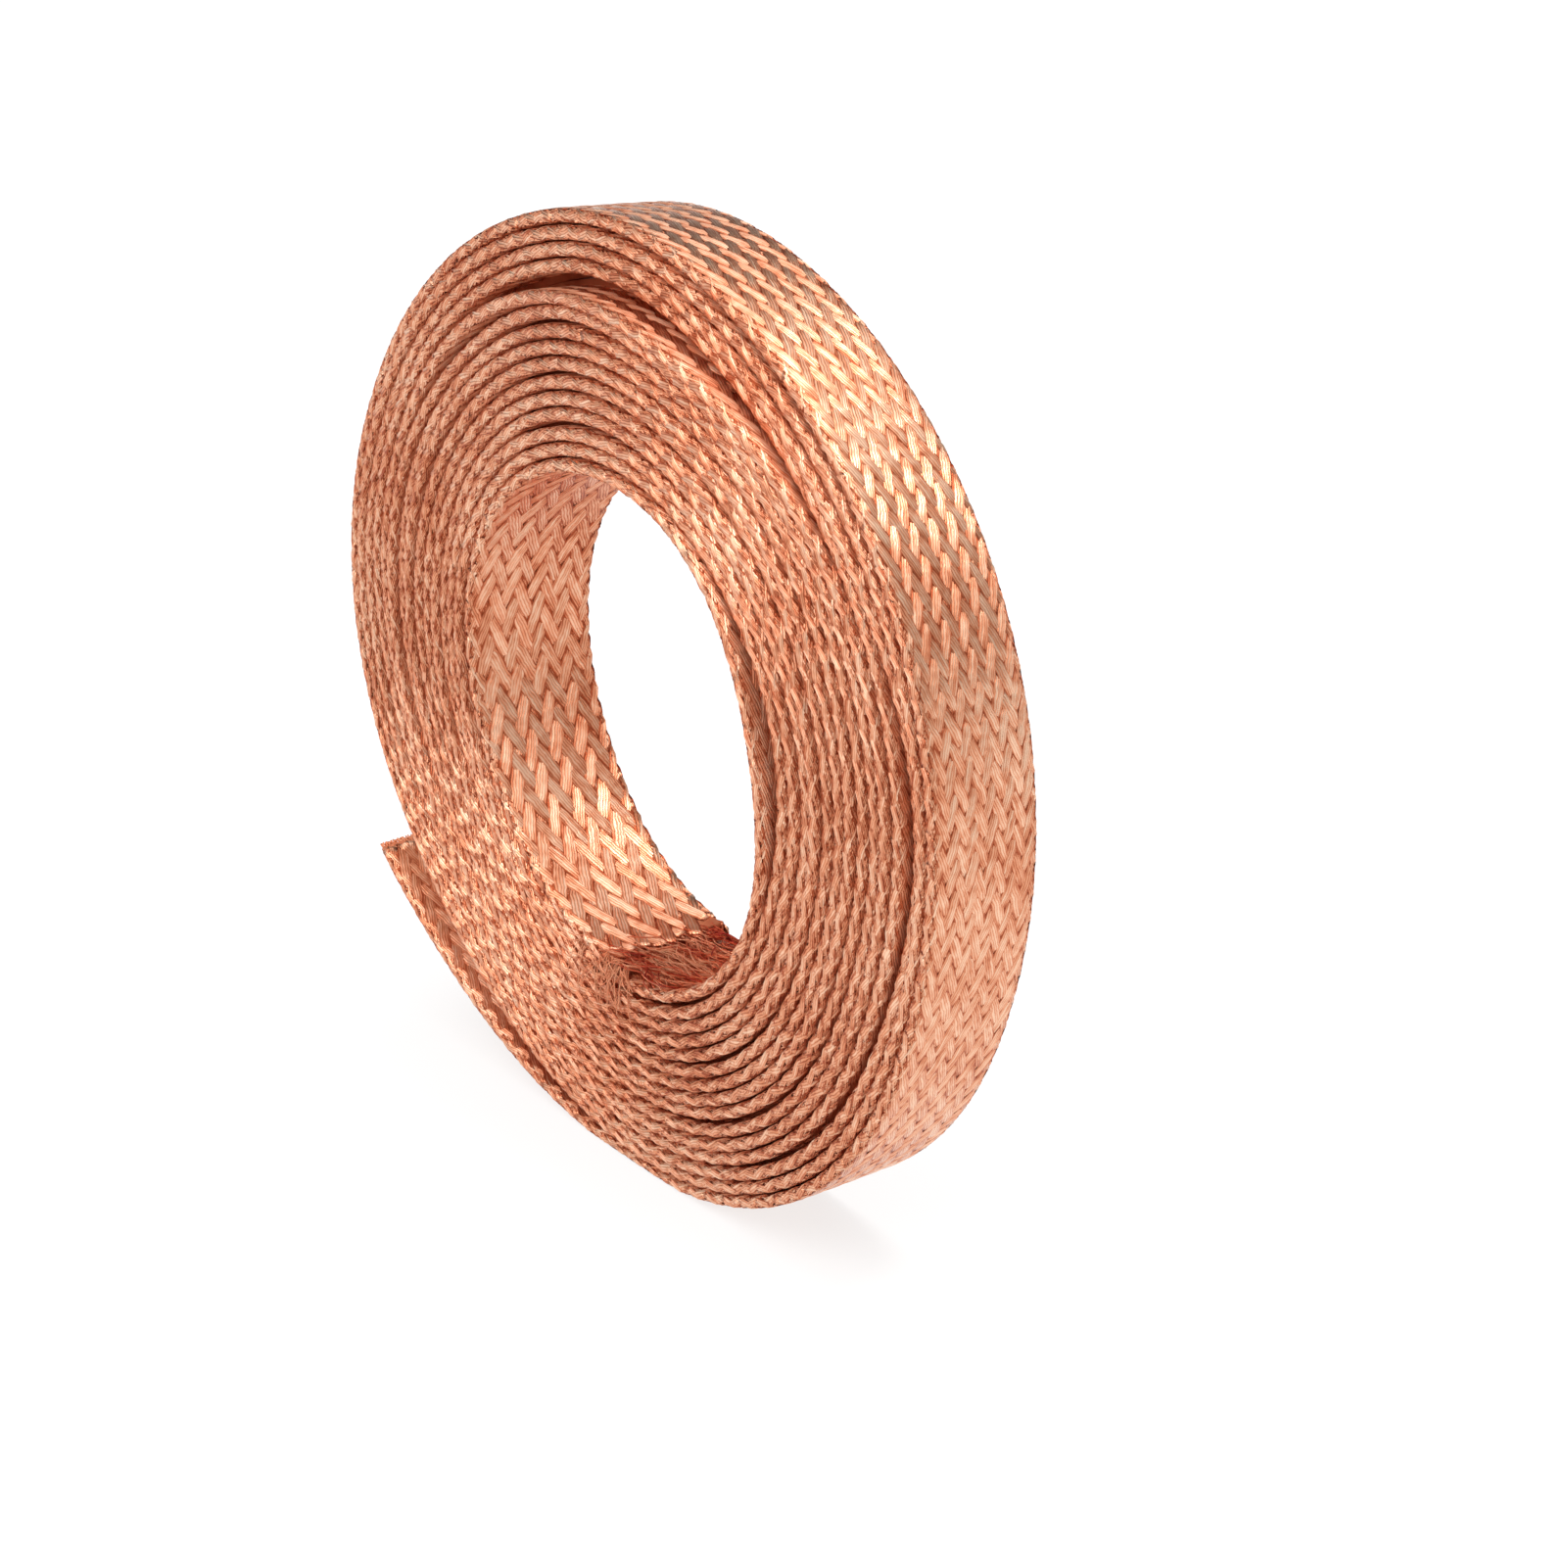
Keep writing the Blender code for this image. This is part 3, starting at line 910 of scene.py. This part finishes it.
def copper(
    name, colours, metallic, anisotropy, border_shade, patch_scale=PATCH_SCALE, patch_share=PATCH_SHARE,
):
    """Fine bare copper wires side by side, duller and redder where they lie deep: painted shade, as
    are the darker grooves between the wires and the strands' darker borders.
    """
    material = bpy.data.materials.new(name)
    nodes = Tree(material)
    shader = nodes.tree.nodes["Principled BSDF"]
    uv = nodes.add("UVMap", uv_map="UVMap").outputs[0]
    split = nodes.add("SeparateXYZ")
    nodes.join(uv, split.inputs[0])
    place = nodes.add("NewGeometry").outputs["Position"]
    tone = nodes.attribute("tone")
    painted_shade_and_tone = nodes.attribute("painted_shade_and_tone")

    drift = nodes.math("MULTIPLY", nodes.noise(uv, WIRE_DRIFT_SCALE), WIRE_DRIFT)
    across = nodes.math("ADD", split.outputs["X"], drift)
    across = nodes.math("ADD", across, nodes.math("MULTIPLY", tone, TONE_SHIFT))
    wires = nodes.math("MULTIPLY", across, WIRES_PER_STRAND)
    profile = nodes.math("ABSOLUTE", nodes.math("SINE", nodes.math("MULTIPLY", wires, pi)))
    relief = nodes.math("POWER", profile, WIRE_ROUNDNESS)

    cell = nodes.add("CombineXYZ")
    nodes.join(nodes.math("FLOOR", wires), cell.inputs[0])
    nodes.join(nodes.math("MULTIPLY", split.outputs["Y"], WIRE_STRETCH), cell.inputs[1])
    nodes.join(nodes.math("MULTIPLY", tone, TONE_CELL), cell.inputs[2])
    wire_tone = nodes.noise(cell.outputs[0], WIRE_TONE_SCALE, detail=1.0)

    # The level starts from the attribute: painted shade on the strands, random tone on the wires
    level = nodes.math("ADD", nodes.math("MULTIPLY", painted_shade_and_tone, SHADE_AND_TONE_SHARE), PLAIN_LEVEL)
    level = nodes.plus_share(level, wire_tone, 0.5, WIRE_TONE_SHARE)
    # Painted shade in the grooves between the wires, and a slight painted highlight on their tops
    level = nodes.plus_share(level, profile, PROFILE_MIDDLE, PROFILE_SHARE)
    # Painted shade along each strand's two borders, where it meets its neighbours
    from_middle = nodes.math("ABSOLUTE", nodes.math("SUBTRACT", split.outputs["X"], 0.5))
    border = nodes.math("POWER", nodes.math("MULTIPLY", from_middle, 2.0), BORDER_POWER)
    level = nodes.math("SUBTRACT", level, nodes.math("MULTIPLY", border, border_shade))
    patches = nodes.noise(place, patch_scale, detail=3.0)
    level = nodes.plus_share(level, patches, 0.5, patch_share)
    flecks = nodes.noise(place, FLECK_SCALE, detail=1.0)
    level = nodes.plus_share(level, flecks, 0.5, FLECK_SHARE)
    colour = nodes.ramp(level, tuple(zip(COPPER_STOPS, colours)))
    nodes.join(colour, shader.inputs["Base Color"])

    rough = nodes.math("ADD", nodes.math("MULTIPLY", patches, ROUGHNESS_SWING), ROUGHNESS)
    nodes.join(rough, shader.inputs["Roughness"])
    shader.inputs["Metallic"].default_value = metallic
    shader.inputs["Anisotropic"].default_value = anisotropy
    tangent = nodes.add("Tangent", direction_type="UV_MAP", uv_map="UVMap")
    nodes.join(tangent.outputs[0], shader.inputs["Tangent"])
    bump_node = nodes.add("Bump")
    bump_node.inputs["Strength"].default_value = 1.0
    bump_node.inputs["Distance"].default_value = WIRE_RELIEF
    nodes.join(relief, bump_node.inputs["Height"])
    nodes.join(bump_node.outputs[0], shader.inputs["Normal"])
    return material


def dark_copper():
    """The braid's inside: dull red copper, painted darker as its shade, with uneven patches."""
    material = bpy.data.materials.new("copper_core")
    nodes = Tree(material)
    shader = nodes.tree.nodes["Principled BSDF"]
    place = nodes.add("NewGeometry").outputs["Position"]
    patches = nodes.noise(place, CORE_PATCH_SCALE, detail=3.0)
    nodes.join(nodes.ramp(patches, CORE_COLOURS), shader.inputs["Base Color"])
    rough = nodes.math("ADD", nodes.math("MULTIPLY", patches, ROUGHNESS_SWING), CORE_ROUGHNESS)
    nodes.join(rough, shader.inputs["Roughness"])
    shader.inputs["Metallic"].default_value = CORE_METALLIC
    return material


def add_looking(name, data, target, back, distance):
    """A camera or lamp that looks at the target, from a distance in the direction back from it."""
    looking = bpy.data.objects.new(name, data)
    looking.location = Vector(target) + back * distance
    looking.rotation_mode = "QUATERNION"
    looking.rotation_quaternion = back.to_track_quat("Z", "Y")
    bpy.context.scene.collection.objects.link(looking)
    return looking


def add_camera():
    """A camera that looks at the roll's axis, shifted to the photograph's frame."""
    azimuth, elevation = radians(CAMERA_AZIMUTH), radians(CAMERA_ELEVATION)
    back = Vector((sin(azimuth) * cos(elevation), -cos(azimuth) * cos(elevation), sin(elevation)))
    data = bpy.data.cameras.new("camera")
    data.sensor_width = SENSOR
    data.lens = SENSOR * PIXELS_PER_METRE * CAMERA_DISTANCE / PHOTO_SIZE
    middle = PHOTO_SIZE / 2
    data.shift_x = (middle - AXIS_PIXEL[0]) / PHOTO_SIZE
    data.shift_y = (AXIS_PIXEL[1] - middle) / PHOTO_SIZE
    bpy.context.scene.camera = add_looking("camera", data, SHIFT, back, CAMERA_DISTANCE)


def add_light(name, direction, distance, size, power):
    """A round soft lamp that shines on the middle of the roll."""
    data = bpy.data.lights.new(name, "AREA")
    data.shape = "DISK"
    data.size = size
    data.energy = power
    add_looking(name, data, LIGHT_TARGET, Vector(direction).normalized(), distance)


def grey_stops(levels):
    """Colour ramp stops of plain brightness."""
    return [(position, (level, level, level, 1)) for position, level in levels]


def add_world():
    """A pale room, dim round the horizon and behind the roll, and brighter overhead. The camera
    sees white in its place, and so does mirrored light low over the floor."""
    world = bpy.data.worlds.new("studio")
    bpy.context.scene.world = world
    nodes = Tree(world)
    background = nodes.tree.nodes["Background"]
    direction = nodes.add("TexCoord").outputs["Generated"]
    split = nodes.add("SeparateXYZ")
    nodes.join(direction, split.inputs[0])
    room = nodes.ramp(split.outputs["Z"], grey_stops(ROOM_LEVELS))
    ahead = nodes.add("VectorMath", operation="DOT_PRODUCT")
    nodes.join(direction, ahead.inputs[0])
    ahead.inputs[1].default_value = BEHIND
    share = nodes.math("ADD", nodes.math("MULTIPLY", ahead.outputs["Value"], 0.5), 0.5)
    dimmed = nodes.ramp(share, grey_stops(BEHIND_LEVELS))
    overhead = nodes.ramp(split.outputs["Z"], grey_stops(OVERHEAD_LEVELS))
    dimmed = nodes.mix(1.0, dimmed, overhead, "LIGHTEN")
    room = nodes.mix(1.0, room, dimmed, "MULTIPLY")

    path = nodes.add("LightPath")
    mirrored = nodes.math("ADD", path.outputs["Is Glossy Ray"], path.outputs["Is Transmission Ray"])
    low_band = nodes.ramp(split.outputs["Z"], grey_stops(BACKDROP_LEVELS))
    mirrored = nodes.math("MULTIPLY", mirrored, low_band)
    shown = nodes.math("MINIMUM", nodes.math("ADD", mirrored, path.outputs["Is Camera Ray"]), 1.0)
    nodes.join(nodes.mix(shown, room, WHITE), background.inputs["Color"])


def add_floor():
    """A pale floor that looks white to the camera, in mirrored light too, and keeps the shadow."""
    bpy.ops.mesh.primitive_circle_add(
        vertices=FLOOR_SIDES, radius=FLOOR_RADIUS, fill_type="NGON", location=(0, 0, -FLOOR_DROP),
    )
    floor = bpy.context.active_object
    floor.name = "floor"
    material = bpy.data.materials.new("pale_floor")
    nodes = Tree(material)
    shader = nodes.tree.nodes["Principled BSDF"]
    shader.inputs["Base Color"].default_value = FLOOR_COLOUR
    shader.inputs["Roughness"].default_value = FLOOR_ROUGHNESS
    shader.inputs["Specular IOR Level"].default_value = FLOOR_GLOSS
    glow = nodes.add("Emission")
    path = nodes.add("LightPath")
    shown = nodes.math("ADD", path.outputs["Is Camera Ray"], path.outputs["Is Glossy Ray"])
    shown = nodes.math("ADD", shown, path.outputs["Is Transmission Ray"])
    shown = nodes.math("MULTIPLY", nodes.math("MINIMUM", shown, 1.0), FLOOR_WHITENESS)
    mix = nodes.add("MixShader")
    nodes.join(shown, mix.inputs["Fac"])
    nodes.join(shader.outputs[0], mix.inputs[1])
    nodes.join(glow.outputs[0], mix.inputs[2])
    nodes.join(mix.outputs[0], nodes.tree.nodes["Material Output"].inputs["Surface"])
    floor.data.materials.append(material)


add_camera()
add_world()
add_floor()
for lamp in LIGHTS:
    add_light(*lamp)

face_copper = copper(
    "copper_faces", STRAND_COPPER, metallic=1.0, anisotropy=0.9, border_shade=FACE_BORDER_SHADE,
)
edge_copper = copper(
    "copper_edges", STRAND_COPPER, metallic=1.0, anisotropy=0.9, border_shade=EDGE_BORDER_SHADE,
)
frayed_copper = copper(
    "frayed_copper", FRAYED_COPPER, metallic=0.65, anisotropy=0.5, border_shade=FACE_BORDER_SHADE,
    patch_scale=FRAYED_PATCH_SCALE, patch_share=FRAYED_PATCH_SHARE,
)
loose_copper = copper(
    "loose_copper", LOOSE_COPPER, metallic=0.85, anisotropy=0.0, border_shade=EDGE_BORDER_SHADE,
)
weave(face_copper, edge_copper)
core(dark_copper())
frayed_end(frayed_copper, loose_copper)
cut_end(loose_copper)

bpy.context.scene.view_settings.view_transform = "Standard"
